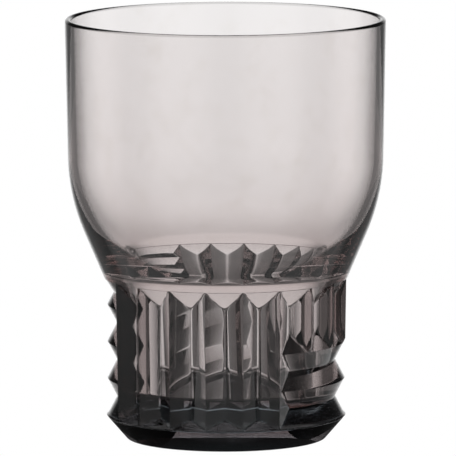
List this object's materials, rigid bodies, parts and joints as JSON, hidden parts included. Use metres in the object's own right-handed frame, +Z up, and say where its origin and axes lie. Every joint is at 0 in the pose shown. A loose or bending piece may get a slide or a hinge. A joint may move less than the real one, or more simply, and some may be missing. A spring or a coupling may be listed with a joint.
{
  "type": "whiskey tumbler",
  "caption": "Clear smoke-tinted plastic tumbler: smooth tapering bowl, narrower block of upright and level triangular ribs, and a chamfered foot.",
  "frame": {"origin": "centre of the underside of the foot", "axes": "+Z up through the lip; -Y is the front, the middle of which is a few ribs to +X of the front quarter's middle"},
  "size_m": [0.0836, 0.0836, 0.11],
  "materials": {
    "bowl_plastic": "polished clear",
    "sleeve_plastic": "polished clear",
    "foot_plastic": "polished clear"
  },
  "bodies": {
    "root": {"bowl": "bowl_plastic", "ribbed_sleeve": "sleeve_plastic", "foot": "foot_plastic"}
  },
  "joints": []
}
